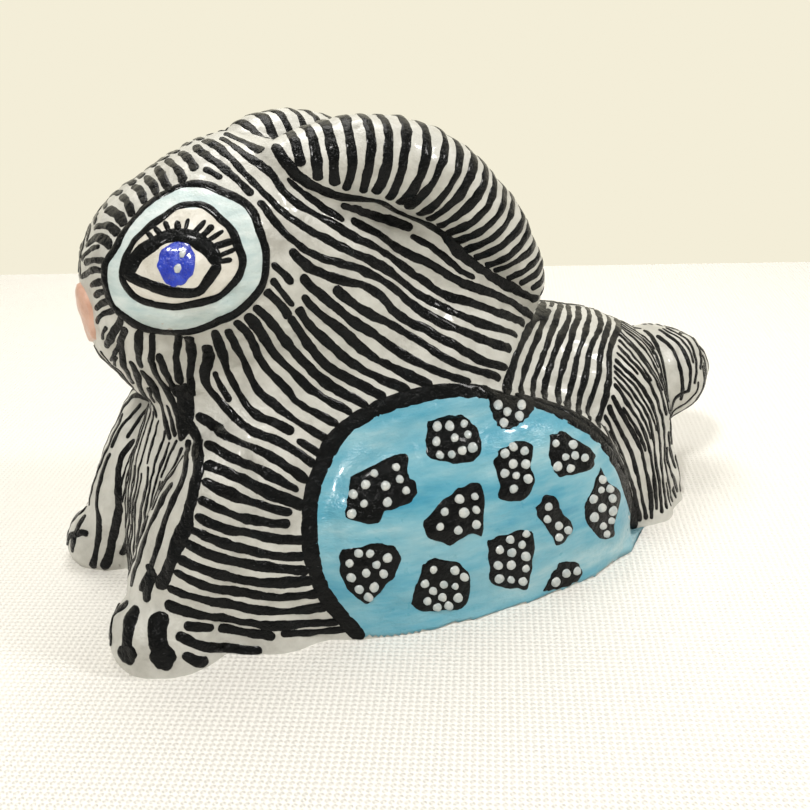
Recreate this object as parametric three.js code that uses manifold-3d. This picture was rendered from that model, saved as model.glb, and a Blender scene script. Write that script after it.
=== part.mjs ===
// A crouching rabbit alebrije in pasted paper: hollow paper skins over crumpled newspaper forms on a wire
// armature, closed underneath by a card. Millimetres, +Z up, the nose towards -X, the left side towards -Y.
import * as THREE from 'three';
import { ParametricGeometry } from 'three/addons/geometries/ParametricGeometry.js';
import { mergeVertices } from 'three/addons/utils/BufferGeometryUtils.js';
import Module from 'manifold-3d';

const wasm = await Module();
wasm.setup();

// Driving dimensions.
const paperWall = 2.2; // about ten pasted layers of newspaper
const pasteLine = 0.3; // the film of paste between two pieces
const cardThickness = 2;
const wireRadius = 0.8;
const wireRoom = 0.4; // how much wider than its wire a hole through paper is
const besideSpine = 2.4; // a limb's wire lies this far beside the spine's where they are tied
const tieLength = 5;
const tieThickness = 1;
const blend = 3; // how softly one form runs into the next
const blockSize = 300; // larger than the figure, for the blocks that cut it

// The forms of head and trunk are ellipsoids. A paired one stands on both sides of the midline.
const forms = {
  head: { at: [-56, 0, 77], r: [23.5, 27, 19] },
  crown: { at: [-46, 0, 83], r: [18, 22, 20] },
  muzzle: { at: [-67, 0, 65], r: [12.5, 15, 15] },
  nape: { at: [-33, 0, 68], r: [28, 24, 29] },
  chest: { at: [-40, 0, 3], r: [38.5, 36, 61] },
  ribcage: { at: [-8, 0, 8], r: [43, 34, 68] },
  shoulder: { at: [-52, 21, 2], r: [18, 17.5, 34], paired: true },
  rump: { at: [32, 0, 12], r: [35, 32, 41] },
  croup: { at: [50, 0, 24], r: [19, 22, 21.5] },
  hind: { at: [50, 20, 2], r: [13, 11, 14], paired: true },
};
const leg = { at: [-67, 23, 21], r: [11, 12.5, 27], lean: 0.36 };
const paw = { at: [-76, 27, 3], r: [12, 9.5, 11] };
const haunch = { at: [-6, 27, 5], r: [45.5, 20, 38.5], squareness: 2.4 };
const tail = { at: [67.5, 0, 27], r: [18.5, 14.5, 13.5] };
const nose = { at: [-79.5, 0, 66], r: [2.8, 6.5, 9] };
const ear = { width: 11.5, depth: 10 };
const earPaths = { // the right ear lies a little lower behind
  left: [[-42, 11, 94], [-29, 13, 97], [-10, 15, 94], [9, 15, 78], [24, 13, 56]],
  right: [[-45, 10, 95], [-34, 13, 97], [-14, 15, 91], [7, 15, 75], [23, 13, 54]],
};

const bodyCentre = new THREE.Vector3(-20, 0, 42);
const neckJoint = { point: [-36, 0, 103], facing: [-0.885, 0, 0.466] };
const sides = { left: -1, right: 1 };

const paint = (color, roughness) => new THREE.MeshStandardMaterial({ color, roughness, metalness: 0 });
const striped = paint(0xd6d2c8, 0.45);
const turquoise = paint(0x6db4c8, 0.4);
const pink = paint(0xd9a48c, 0.5);
const newsprint = paint(0xb9b4a6, 0.9);
const cardboard = paint(0xa58a64, 0.9);
const galvanised = new THREE.MeshStandardMaterial({ color: 0x9a9da0, roughness: 0.4, metalness: 0.9 });

const figure = new THREE.Group();

const vector = ([x, y, z], side = 1) => new THREE.Vector3(x, side * y, z);
const curveThrough = (points, side) => new THREE.CatmullRomCurve3(points.map((point) => vector(point, side)));

// ---- solids from geometries ----

function solid(geometry) {
  const bare = geometry.clone();
  bare.deleteAttribute('normal');
  bare.deleteAttribute('uv');
  const merged = mergeVertices(bare, 1e-3);
  return new wasm.Manifold(
    new wasm.Mesh({
      numProp: 3,
      vertProperties: new Float32Array(merged.attributes.position.array),
      triVerts: new Uint32Array(merged.index.array),
    }),
  );
}

function place(name, made, material) {
  const { vertProperties, triVerts } = made.getMesh();
  const geometry = new THREE.BufferGeometry();
  geometry.setAttribute('position', new THREE.BufferAttribute(vertProperties, 3));
  geometry.setIndex(new THREE.BufferAttribute(triVerts, 1));
  geometry.computeVertexNormals();
  const mesh = new THREE.Mesh(geometry, material.clone());
  mesh.name = name;
  figure.add(mesh);
}

// Everything beyond a point in the direction faced, starting `offset` mm further on.
function blockBeyond({ point, facing }, offset = 0) {
  const box = new THREE.BoxGeometry(blockSize, blockSize, blockSize).translate(0, 0, blockSize / 2 + offset);
  const direction = new THREE.Vector3(...facing).normalize();
  const turn = new THREE.Quaternion().setFromUnitVectors(new THREE.Vector3(0, 0, 1), direction);
  return solid(box.applyQuaternion(turn).translate(...point));
}

const turnedRound = ({ point, facing }) => ({ point, facing: facing.map((part) => -part) });
const belowFloor = blockBeyond({ point: [0, 0, 0], facing: [0, 0, -1] });
const aboveCard = blockBeyond({ point: [0, 0, cardThickness], facing: [0, 0, 1] });
const belowCardTop = blockBeyond({ point: [0, 0, cardThickness], facing: [0, 0, -1] });

// A squareness above 2 makes an ellipsoid boxier, and a lean swings its foot forward.
function ellipsoid({ at, r, squareness = 2, lean = 0 }, side = 1, grow = 0, columns = 24, rows = 16) {
  const ball = new THREE.SphereGeometry(1, columns, rows).rotateX(Math.PI / 2);
  const points = ball.attributes.position;
  for (let i = 0; i < points.count; i++) {
    const p = new THREE.Vector3().fromBufferAttribute(points, i);
    const sum = p.toArray().reduce((total, part) => total + Math.abs(part) ** squareness, 0);
    p.multiplyScalar(sum ** (-1 / squareness));
    points.setXYZ(i, ...p.toArray());
  }
  ball.scale(r[0] + grow, r[1] + grow, r[2] + grow).rotateY(lean);
  return solid(ball.translate(at[0], at[1] * side, at[2]));
}

// ---- the blended surface of head and trunk ----

// Roughly how far a point lies outside an ellipsoid, negative inside.
function distanceTo({ at, r, paired }, p) {
  const y = paired ? Math.abs(p.y) : p.y;
  const q = new THREE.Vector3((p.x - at[0]) / r[0], (y - at[1]) / r[1], (p.z - at[2]) / r[2]);
  const slope = Math.hypot(q.x / r[0], q.y / r[1], q.z / r[2]);
  return (q.length() * (q.length() - 1)) / Math.max(slope, 1e-6);
}

function bodyDistance(p) {
  const sum = Object.values(forms).reduce((total, form) => total + Math.exp(-distanceTo(form, p) / blend), 0);
  return -blend * Math.log(sum);
}

// That surface moved out by `grow`: a sphere round the body's centre with each point pushed out to it.
function body(grow, columns, rows) {
  const ball = new THREE.SphereGeometry(1, columns, rows).rotateX(Math.PI / 2);
  const points = ball.attributes.position;
  const step = 2;
  for (let i = 0; i < points.count; i++) {
    const direction = new THREE.Vector3().fromBufferAttribute(points, i).normalize();
    const inside = (reach) => bodyDistance(direction.clone().multiplyScalar(reach).add(bodyCentre)) < grow;
    let near = 0;
    while (inside(near + step)) near += step;
    let far = near + step;
    for (let halving = 0; halving < 12; halving++) {
      const middle = (near + far) / 2;
      if (inside(middle)) near = middle;
      else far = middle;
    }
    direction.multiplyScalar(near).add(bodyCentre);
    points.setXYZ(i, direction.x, direction.y, direction.z);
  }
  return solid(ball);
}

const skinOutside = body(0, 46, 32);
const skinInside = body(-paperWall, 24, 18);
const aroundSkin = body(pasteLine, 46, 32);
const hollow = body(-paperWall - pasteLine - 0.3, 24, 18);
const onTheSkin = (made) => made.subtract(aroundSkin).subtract(belowFloor);

// ---- wires ----

const spine = curveThrough([[-60, 0, 74], [-38, 0, 64], [-12, 0, 50], [20, 0, 36], [48, 0, 28], [76, 0, 25]]);

function wire(route, radius, steps) {
  const section = new THREE.Shape().absarc(0, 0, radius, 0, 2 * Math.PI);
  return solid(new THREE.ExtrudeGeometry(section, { steps, curveSegments: 3, extrudePath: route }));
}

// A limb's wire runs beside the spine through its tie, then out to the limb.
function limbRoute(tieAt, side, outward) {
  const beside = new THREE.Vector3(0, side * besideSpine, 0);
  const tied = [-0.03, 0, 0.03].map((shift) => spine.getPointAt(tieAt + shift).add(beside));
  return new THREE.CatmullRomCurve3([...tied, ...outward.map((point) => vector(point, side))]);
}

const ties = { shoulder_tie: 0.34, hip_tie: 0.66 };
const limbs = {
  leg_wire: { tieAt: ties.shoulder_tie, outward: [[-10, 7, 44], [-36, 17, 38], [-64, 24, 24], [-75, 27, 7]] },
  hind_wire: { tieAt: ties.hip_tie, outward: [[38, 8, 28], [28, 20, 22], [8, 34, 16], [-8, 40, 10]] },
};
const earOutward = [[-48, 5, 82], [-38, 11, 91], [-14, 15, 92], [10, 15, 76]];

const routes = { spine_wire: spine };
for (const [name, side] of Object.entries(sides)) {
  for (const [limb, { tieAt, outward }] of Object.entries(limbs)) {
    routes[`${limb}_${name}`] = limbRoute(tieAt, side, outward);
  }
  routes[`ear_wire_${name}`] = curveThrough(earOutward, side);
}

const clearOfWires = (made) => Object.values(routes).reduce(
  (left, route) => left.subtract(wire(route, wireRadius + wireRoom, 12)),
  made,
);

function buildWires() {
  for (const [name, route] of Object.entries(routes)) place(name, wire(route, wireRadius, 12), galvanised);
}

// ---- ties: turns of tape round the spine's wire and a pair of limb wires ----

function tie(at, grow = 0) {
  const inner = besideSpine + wireRadius + 0.6 - grow;
  const outer = inner + tieThickness + 2 * grow;
  const half = tieLength / 2 + grow;
  const profile = [[inner, -half], [outer, -half], [outer, half], [inner, half], [inner, -half]];
  const ring = new THREE.LatheGeometry(profile.map(([x, y]) => new THREE.Vector2(x, y)), 14);
  const turn = new THREE.Quaternion().setFromUnitVectors(new THREE.Vector3(0, 1, 0), spine.getTangentAt(at));
  return solid(ring.applyQuaternion(turn).translate(...spine.getPointAt(at).toArray()));
}

const clearOfTies = (made) => Object.values(ties).reduce((left, at) => left.subtract(tie(at, pasteLine)), made);

function buildTies() {
  for (const [name, at] of Object.entries(ties)) place(name, tie(at), cardboard);
}

// ---- skins ----

function buildBody() {
  const shell = clearOfWires(skinOutside.subtract(skinInside).subtract(belowFloor));
  place('trunk_shell', shell.subtract(blockBeyond(neckJoint, -pasteLine / 2)), striped);
  place('head_shell', shell.subtract(blockBeyond(turnedRound(neckJoint), -pasteLine / 2)), striped);
  place('nose_pad', onTheSkin(ellipsoid(nose, 1, 0, 12, 8)), pink);
}

function buildForelegs() {
  for (const [name, side] of Object.entries(sides)) {
    const limb = ellipsoid(leg, side, 0, 18, 12).add(ellipsoid(paw, side, 0, 16, 10));
    place(`foreleg_${name}`, clearOfWires(onTheSkin(limb)), striped);
  }
}

// A domed patch of skin over each hind leg, with its own pad of newspaper underneath.
function buildHaunches() {
  for (const [name, side] of Object.entries(sides)) {
    const dome = ellipsoid(haunch, side).subtract(ellipsoid(haunch, side, -paperWall, 16, 10));
    place(`haunch_${name}`, clearOfWires(onTheSkin(dome)), turquoise);
    const pad = ellipsoid(haunch, side, -paperWall - pasteLine - 0.3, 16, 10);
    place(`haunch_pad_${name}`, clearOfWires(onTheSkin(pad).subtract(belowCardTop)), newsprint);
  }
}

// An ear is a plump lobe laid back along the body: a ring of points swept along its middle line.
function earLobe(path, side) {
  const line = curveThrough(path, side);
  const sideways = new THREE.Vector3(0, 1, 0);
  const surface = (around, along, target) => {
    const swell = Math.pow(Math.sin(Math.PI * along), 0.45);
    const up = new THREE.Vector3().crossVectors(line.getTangent(along), sideways).normalize();
    const angle = 2 * Math.PI * around;
    target.copy(line.getPoint(along));
    target.addScaledVector(sideways, Math.cos(angle) * swell * ear.width);
    target.addScaledVector(up, Math.sin(angle) * swell * ear.depth);
  };
  return solid(new ParametricGeometry(surface, 16, 14));
}

function buildEars() {
  for (const [name, side] of Object.entries(sides)) {
    const otherSide = blockBeyond({ point: [0, 0, 0], facing: [0, -side, 0] }, -pasteLine / 2);
    const lobe = onTheSkin(earLobe(earPaths[name], side)).subtract(otherSide);
    place(`ear_${name}`, clearOfWires(lobe), striped);
  }
}

function buildTail() {
  const shell = ellipsoid(tail).subtract(ellipsoid(tail, 1, -paperWall, 14, 10));
  place('tail_shell', clearOfWires(onTheSkin(shell)), striped);
  const core = ellipsoid(tail, 1, -paperWall - pasteLine - 0.3, 14, 10);
  place('tail_core', clearOfWires(onTheSkin(core)), newsprint);
}

// ---- inside ----

const cores = {
  head_core: { at: [-53, 0, 78], r: [16, 18, 14] },
  chest_core: { at: [-37, 0, 31], r: [25, 25, 26] },
  rump_core: { at: [22, 0, 24], r: [30, 23, 21] },
};

// Crumpled newspaper: an ellipsoid with shallow dents.
function crumpled({ at, r }) {
  const ball = new THREE.SphereGeometry(1, 14, 9).rotateX(Math.PI / 2);
  const points = ball.attributes.position;
  for (let i = 0; i < points.count; i++) {
    const p = new THREE.Vector3().fromBufferAttribute(points, i);
    const dents = Math.sin(5 * p.x + 2 * p.z) * Math.sin(6 * p.y + 1) * Math.sin(7 * p.z - 3 * p.x);
    p.multiplyScalar(1 + 0.06 * dents);
    points.setXYZ(i, p.x * r[0] + at[0], p.y * r[1] + at[1], p.z * r[2] + at[2]);
  }
  return solid(ball);
}

function buildInside() {
  for (const [name, core] of Object.entries(cores)) {
    place(name, clearOfTies(clearOfWires(crumpled(core))), newsprint);
  }
  place('base_card', hollow.subtract(aboveCard).subtract(belowFloor), cardboard);
}

buildBody();
buildForelegs();
buildHaunches();
buildEars();
buildTail();
buildInside();
buildTies();
buildWires();

// The origin is the middle of the figure's footprint.
const extent = new THREE.Box3().setFromObject(figure);
const middle = extent.getCenter(new THREE.Vector3());
figure.position.set(-middle.x, -middle.y, 0);

export default figure;
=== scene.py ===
# A crouching rabbit alebrije: pasted paper skins, brushed acrylic laid on as real strokes, and varnish.
import bpy
import bmesh
import math
import random
from mathutils import Matrix, Vector, noise
from mathutils.bvhtree import BVHTree


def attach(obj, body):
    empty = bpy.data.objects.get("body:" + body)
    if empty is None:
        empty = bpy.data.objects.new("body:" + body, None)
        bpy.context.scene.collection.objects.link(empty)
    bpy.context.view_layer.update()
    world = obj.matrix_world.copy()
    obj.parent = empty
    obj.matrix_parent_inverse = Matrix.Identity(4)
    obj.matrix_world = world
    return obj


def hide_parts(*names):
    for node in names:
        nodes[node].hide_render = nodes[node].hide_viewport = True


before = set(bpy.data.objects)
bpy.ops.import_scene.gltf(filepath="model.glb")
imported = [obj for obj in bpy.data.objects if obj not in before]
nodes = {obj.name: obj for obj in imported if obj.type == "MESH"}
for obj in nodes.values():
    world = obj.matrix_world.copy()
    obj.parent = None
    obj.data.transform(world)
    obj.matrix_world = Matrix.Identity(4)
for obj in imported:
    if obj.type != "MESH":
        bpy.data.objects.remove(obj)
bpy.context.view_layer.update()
mm = 0.001
left, right = -1, 1  # the side of the midline, as the sign of Y
sideNames = {left: "left", right: "right"}
usualStops = (0.3, 0.5, 0.75)  # where a finish's dark, middle and light colours lie in its patches
creaseDepth, grainDepth = 0.9 * mm, 0.4 * mm  # how deep a full-strength bump reads in any of the finishes


def linear(hexColour):
    channels = [int(hexColour[i:i + 2], 16) / 255 for i in (1, 3, 5)]
    return [c / 12.92 if c <= 0.04045 else ((c + 0.055) / 1.055) ** 2.4 for c in channels] + [1.0]


def addNode(tree, kind, settings=None, values=None, links=None):
    node = tree.nodes.new(kind)
    for key, value in (settings or {}).items():
        setattr(node, key, value)
    for key, value in (values or {}).items():
        node.inputs[key].default_value = value
    for key, output in (links or {}).items():
        tree.links.new(output, node.inputs[key])
    return node


def perMetre(sizeMm):
    return 1 / (sizeMm * mm)  # a noise scale whose features are about that many millimetres


def ramp(tree, fac, stops):
    stops = list(stops)
    node = addNode(tree, "ShaderNodeValToRGB", links={"Fac": fac})
    elements = node.color_ramp.elements
    while len(elements) < len(stops):
        elements.new(0.5)
    for element, (position, colour) in zip(elements, stops):
        element.position = position
        element.color = linear(colour) if isinstance(colour, str) else [colour] * 3 + [1.0]
    return node.outputs["Color"]


def emptyMaterial(name):
    material = bpy.data.materials.new(name)
    material.use_nodes = True
    material.node_tree.nodes.clear()
    return material, material.node_tree


# A painted surface: colour patches, brush marks and fine grain, each at its real size in millimetres.
def paintedMaterial(name, look):
    material, tree = emptyMaterial(name)
    place = addNode(tree, "ShaderNodeTexCoord").outputs["Object"]
    stretched = addNode(tree, "ShaderNodeMapping", links={"Vector": place},
                        values={"Rotation": look.get("brushTurn", (0, 0, 0)),
                                "Scale": look.get("brush", (1, 1, 1))})
    patches = addNode(tree, "ShaderNodeTexNoise", links={"Vector": stretched.outputs[0]},
                      values={"Scale": perMetre(look["patchMm"]), "Detail": 5.0, "Roughness": 0.62})
    colour = ramp(tree, patches.outputs["Fac"], zip(look.get("stops", usualStops), look["colours"]))
    creases = addNode(tree, "ShaderNodeTexNoise", links={"Vector": place},
                      values={"Scale": perMetre(look["creaseMm"]), "Detail": 3.0, "Roughness": 0.55})
    grain = addNode(tree, "ShaderNodeTexNoise", links={"Vector": stretched.outputs[0]},
                    values={"Scale": perMetre(look["grainMm"]), "Detail": 2.0, "Roughness": 0.6})
    rough = ramp(tree, creases.outputs["Fac"], [(0.3, look["roughness"][0]), (0.7, look["roughness"][1])])
    low = addNode(tree, "ShaderNodeBump", links={"Height": creases.outputs["Fac"]},
                  values={"Strength": look["creaseBump"], "Distance": creaseDepth})
    high = addNode(tree, "ShaderNodeBump", links={"Height": grain.outputs["Fac"], "Normal": low.outputs[0]},
                   values={"Strength": look["grainBump"], "Distance": grainDepth})
    shader = addNode(tree, "ShaderNodeBsdfPrincipled",
                     links={"Base Color": colour, "Roughness": rough, "Normal": high.outputs[0]},
                     values={"IOR": 1.49, "Specular IOR Level": look.get("shine", 0.5),
                             "Coat Weight": look["varnish"], "Coat Roughness": 0.1,
                             "Metallic": look.get("metallic", 0.0)})
    addNode(tree, "ShaderNodeOutputMaterial", links={"Surface": shader.outputs[0]})
    return material


finishes = {
    # acrylic ground over pasted newsprint: the paper's creases show through it
    "offWhiteAcrylic": {"patchMm": 9, "creaseMm": 3.4, "grainMm": 0.9, "roughness": (0.34, 0.5),
                        "creaseBump": 0.8, "grainBump": 0.26, "varnish": 0.42,
                        "stops": (0.3, 0.5, 0.72), "colours": ("#a8a69e", "#bfbeb6", "#cecdc6")},
    # thick black acrylic, varnished: small bumps that catch the light. Its colour varies in random patches:
    # the darker ones are the paint's own uneven tone, and the lighter bluish ones are a painted reflection
    "blackAcrylic": {"patchMm": 6, "creaseMm": 1.5, "grainMm": 0.7, "roughness": (0.07, 0.24),
                     "creaseBump": 1.0, "grainBump": 0.5, "varnish": 0.12,
                     "shine": 0.1, "stops": (0.35, 0.6, 0.8), "colours": ("#040505", "#090b0c", "#151a1b")},
    # turquoise acrylic thinned with white, dragged on with a stiff brush
    "turquoiseAcrylic": {"patchMm": 16, "creaseMm": 3.6, "grainMm": 0.9, "roughness": (0.26, 0.44),
                         "creaseBump": 0.5, "grainBump": 0.3, "varnish": 0.5,
                         "brush": (0.5, 1, 2.6), "brushTurn": (0, 0.35, 0),
                         "stops": (0.28, 0.44, 0.6, 0.78),
                         "colours": ("#2b8caa", "#5aa1b6", "#80b3c0", "#b0cbcf")},
    # pale blue-grey acrylic with white streaks
    "paleBlueAcrylic": {"patchMm": 5, "creaseMm": 3, "grainMm": 0.8, "roughness": (0.26, 0.42),
                        "creaseBump": 0.5, "grainBump": 0.25, "varnish": 0.5, "brush": (0.6, 0.6, 1.8),
                        "colours": ("#aabfc0", "#c3d1cf", "#dfe5e2")},
    # warm white acrylic over the ground, evenly brushed: a little creamier than the skin around it
    "eyeWhiteAcrylic": {"patchMm": 6, "creaseMm": 3, "grainMm": 0.9, "roughness": (0.3, 0.45),
                        "creaseBump": 0.6, "grainBump": 0.25, "varnish": 0.45,
                        "colours": ("#c4bfb1", "#d4d0c5", "#dfdcd3")},
    # undiluted blue acrylic in one small dab: deep, glossy and a little streaky
    "royalBlueAcrylic": {"patchMm": 2.5, "creaseMm": 1.4, "grainMm": 0.6, "roughness": (0.2, 0.4),
                         "creaseBump": 0.6, "grainBump": 0.3, "varnish": 0.6,
                         "stops": (0.3, 0.55, 0.8), "colours": ("#0b1f90", "#1635b4", "#2c4fca")},
    # thick white acrylic set down in drops: smooth rounded beads with a soft shine
    "whiteDotAcrylic": {"patchMm": 2.2, "creaseMm": 1.2, "grainMm": 0.5, "roughness": (0.22, 0.4),
                        "creaseBump": 0.3, "grainBump": 0.2, "varnish": 0.5,
                        "colours": ("#9fabad", "#bcc1bf", "#d2d2cb")},
    # pink acrylic mixed with white: a muted flesh tone, slightly mottled
    "pinkAcrylic": {"patchMm": 5, "creaseMm": 2.5, "grainMm": 0.8, "roughness": (0.3, 0.48),
                    "creaseBump": 0.5, "grainBump": 0.25, "varnish": 0.4,
                    "colours": ("#bb8d76", "#cfa48e", "#deb9a6")},
    # dry newspaper crumpled into a wad: grey print under deep creases
    "crumpledNewsprint": {"patchMm": 3, "creaseMm": 5, "grainMm": 1.2, "roughness": (0.8, 0.95),
                          "creaseBump": 1.0, "grainBump": 0.5, "varnish": 0.0,
                          "colours": ("#8f8b80", "#b5b0a2", "#c9c4b5")},
    # recycled board, pressed and uncoated: flat, dull and finely fibrous
    "greyboard": {"patchMm": 8, "creaseMm": 4, "grainMm": 0.5, "roughness": (0.8, 0.95),
                  "creaseBump": 0.2, "grainBump": 0.5, "varnish": 0.0,
                  "colours": ("#8d7454", "#a08663", "#b19a78")},
    # creped paper tape wound tight: matt tan with fine wrinkles across the turns
    "crepePaperTape": {"patchMm": 4, "creaseMm": 1.2, "grainMm": 0.4, "roughness": (0.6, 0.8),
                       "creaseBump": 0.7, "grainBump": 0.4, "varnish": 0.0, "brush": (3, 1, 1),
                       "colours": ("#b79a66", "#c9ae7c", "#d6c093")},
    # zinc-dipped steel wire: dull, faintly mottled
    "galvanisedWire": {"patchMm": 1.5, "creaseMm": 1, "grainMm": 0.3, "roughness": (0.35, 0.5),
                       "creaseBump": 0.15, "grainBump": 0.2, "varnish": 0.0, "metallic": 1.0,
                       "colours": ("#8b8f92", "#a2a6a9", "#b8bbbd")},
}
materials = {name: paintedMaterial(name, look) for name, look in finishes.items()}
print("materials:", len(materials))


def addObject(name, data):
    made = bpy.data.objects.new(name, data)
    bpy.context.scene.collection.objects.link(made)
    return made


def addPiece(bm, name, material):
    mesh = bpy.data.meshes.new(name)
    bm.to_mesh(mesh)
    bm.free()
    mesh.materials.append(material)
    return addObject(name, mesh)


def finishPiece(bm, name, material, replaced=()):
    for face in bm.faces:
        face.smooth = True
    piece = addPiece(bm, name, materials[material])
    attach(piece, "root")
    if replaced:
        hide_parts(*replaced)
    return piece


form = {
    "heart": Vector((-20, 0, 42)) * mm,  # a point inside the body that sees all of its surface
    "haunchHeart": Vector((-6, 27, 5)) * mm,  # the same inside the right haunch
    "voxel": 1.0 * mm,
    "skirt": 6 * mm,  # the form runs on below the floor while it is smoothed, then is cut off level
    "smoothing": 14,
    "wrinkle": 0.4 * mm,
    "wrinkleSize": 7 * mm,
    "crossWrinkle": (0.45, 2.7),  # a second wrinkle over the first: its share, and how many times finer it is
    "fineWrinkle": 0.13 * mm,
    "fineWrinkleSize": 2.6 * mm,
    "hemFlare": 1.5 * mm,
    "hemHeight": 7 * mm,
    "hemWaver": (0.55, 0.9, 9 * mm),  # the flare's least share, how much it varies, and over what length
    "wall": 1.8 * mm,
    # pasted fullness inside each foreleg, inside each paw and over and under each ear: centre, radii, lean
    "fullness": [((-70, 21, 20), (9, 11, 25), 0.44), ((-77.5, 24, 4), (10.5, 10, 9.5), 0.0),
                 ((-31, 13, 98), (12, 8, 6), 0.0), ((2, 9, 69), (27, 11, 9), 0.62)],
}


# The CAD's paper pieces, and the skin that stands for each.
skins = {
    "trunk_shell": "trunk_skin",
    "head_shell": "head_skin",
    "ear_left": "ear_skin_left",
    "ear_right": "ear_skin_right",
    "foreleg_left": "foreleg_skin_left",
    "foreleg_right": "foreleg_skin_right",
    "tail_shell": "tail_skin",
    "haunch_left": "haunch_skin_left",
    "haunch_right": "haunch_skin_right",
}


def mergedCopy(name):
    bm = bmesh.new()
    bm.from_mesh(nodes[name].data)
    bmesh.ops.remove_doubles(bm, verts=bm.verts, dist=0.01 * mm)
    return bm


def filledSkin(name, heart):
    bm = mergedCopy(name)
    inner = [f for f in bm.faces if f.normal.dot(f.calc_center_median() - heart) <= 0]
    bmesh.ops.delete(bm, geom=inner, context="FACES")
    bmesh.ops.holes_fill(bm, edges=[e for e in bm.edges if e.is_boundary], sides=0)
    return bm


def addSkirt(bm):
    under = [f for f in bm.faces if all(v.co.z < 0.05 * mm for v in f.verts)]
    made = bmesh.ops.extrude_face_region(bm, geom=under)["geom"]
    lowered = [g for g in made if isinstance(g, bmesh.types.BMVert)]
    bmesh.ops.translate(bm, verts=lowered, vec=(0, 0, -form["skirt"]))


def makeForm():
    mesh = bpy.data.meshes.new("form")
    whole = bmesh.new()
    hearts = {"trunk_shell": form["heart"], "head_shell": form["heart"], "haunch_right": form["haunchHeart"],
              "haunch_left": form["haunchHeart"] * Vector((1, -1, 1))}
    for name in skins:
        bm = filledSkin(name, hearts[name]) if name in hearts else mergedCopy(name)
        addSkirt(bm)
        bm.to_mesh(mesh)
        bm.free()
        whole.from_mesh(mesh)
    for centre, radii, lean in form["fullness"]:
        for side in (left, right):
            place = Matrix.Translation(Vector((centre[0], side * centre[1], centre[2])) * mm)
            shape = place @ Matrix.Rotation(lean, 4, "Y") @ Matrix.Diagonal((*radii, 1 / mm)) * mm
            shape[3][3] = 1
            bmesh.ops.create_icosphere(whole, subdivisions=4, radius=1, matrix=shape)
    whole.to_mesh(mesh)
    whole.free()
    blank = addObject("form", mesh)
    remesh = blank.modifiers.new("remesh", "REMESH")
    remesh.mode = "VOXEL"
    remesh.voxel_size = form["voxel"]
    evaluated = blank.evaluated_get(bpy.context.evaluated_depsgraph_get())
    bm = bmesh.new()
    bm.from_mesh(evaluated.to_mesh())
    bpy.data.objects.remove(blank)
    for _ in range(form["smoothing"]):
        bmesh.ops.smooth_vert(bm, verts=bm.verts, factor=0.5,
                              use_axis_x=True, use_axis_y=True, use_axis_z=True)
    return bm


def largestPart(bm):
    unseen, parts = set(bm.verts), []
    while unseen:
        stack, part = [unseen.pop()], []
        while stack:
            vert = stack.pop()
            part.append(vert)
            for edge in vert.link_edges:
                other = edge.other_vert(vert)
                if other in unseen:
                    unseen.remove(other)
                    stack.append(other)
        parts.append(part)
    parts.sort(key=len)
    loose = [v for part in parts[:-1] for v in part]
    bmesh.ops.delete(bm, geom=loose, context="VERTS")


formMesh = makeForm()
largestPart(formMesh)
bmesh.ops.bisect_plane(formMesh, geom=formMesh.verts[:] + formMesh.edges[:] + formMesh.faces[:],
                       plane_co=(0, 0, 0), plane_no=(0, 0, 1), clear_inner=True)
formMesh.normal_update()
crossShare, crossFiner = form["crossWrinkle"]
waverLeast, waverShare, waverSize = form["hemWaver"]
for vert in formMesh.verts:
    crease = noise.noise(vert.co / form["wrinkleSize"])
    crease += crossShare * noise.noise(vert.co / form["wrinkleSize"] * crossFiner)
    fine = noise.noise(vert.co / form["fineWrinkleSize"])
    shift = vert.normal * (crease * form["wrinkle"] + fine * form["fineWrinkle"])
    nearFloor = max(0.0, 1 - vert.co.z / form["hemHeight"])
    outward = Vector((vert.normal.x, vert.normal.y, 0))
    waver = waverLeast + waverShare * noise.noise(vert.co / waverSize + Vector((7, 3, 0)))
    shift += outward * nearFloor ** 2 * form["hemFlare"] * waver
    if vert.co.z < 0.01 * mm:
        shift.z = 0
    vert.co += shift
formMesh.normal_update()
skinTree = BVHTree.FromBMesh(formMesh)
print("form:", len(formMesh.verts), "points")


def splitSkins():
    trees = {}
    for name in skins:
        bm = mergedCopy(name)
        trees[name] = BVHTree.FromBMesh(bm)
        bm.free()
    owner = []
    for face in formMesh.faces:
        centre = face.calc_center_median()
        owner.append(min(trees, key=lambda name: trees[name].find_nearest(centre)[3]))
    for name, skinName in skins.items():
        bm = formMesh.copy()
        bm.faces.ensure_lookup_table()
        others = [f for f, mine in zip(bm.faces, owner) if mine != name]
        bmesh.ops.delete(bm, geom=others, context="FACES")
        for edge in bm.edges:
            edge.smooth = not edge.is_boundary
        piece = finishPiece(bm, skinName, "offWhiteAcrylic", replaced=(name,))
        wall = piece.modifiers.new("wall", "SOLIDIFY")
        wall.thickness = form["wall"]
        wall.offset = -1
        skin = bpy.data.meshes.new_from_object(piece.evaluated_get(bpy.context.evaluated_depsgraph_get()))
        piece.modifiers.clear()
        piece.data = skin
        for vert in skin.vertices:
            vert.co.z = max(vert.co.z, 0.0)


splitSkins()
print("skins:", len(skins))


def makeView(azimuth, elevation):
    a, e = math.radians(azimuth), math.radians(elevation)
    return {
        "right": Vector((math.cos(a), math.sin(a), 0)),
        "up": Vector((-math.sin(a) * math.sin(e), math.cos(a) * math.sin(e), math.cos(e))),
        "back": Vector((math.sin(a) * math.cos(e), -math.cos(a) * math.cos(e), math.sin(e))),
    }


# Paint is drawn flat, in millimetres right and up of the origin as seen from one of these directions, then
# laid on the form. The near side is the left one; the other side is its mirror image.
quarter = makeView(-25, 22)
front = makeView(-90, 0)
rear = makeView(90, 12)
above = makeView(0, 89)


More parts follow.
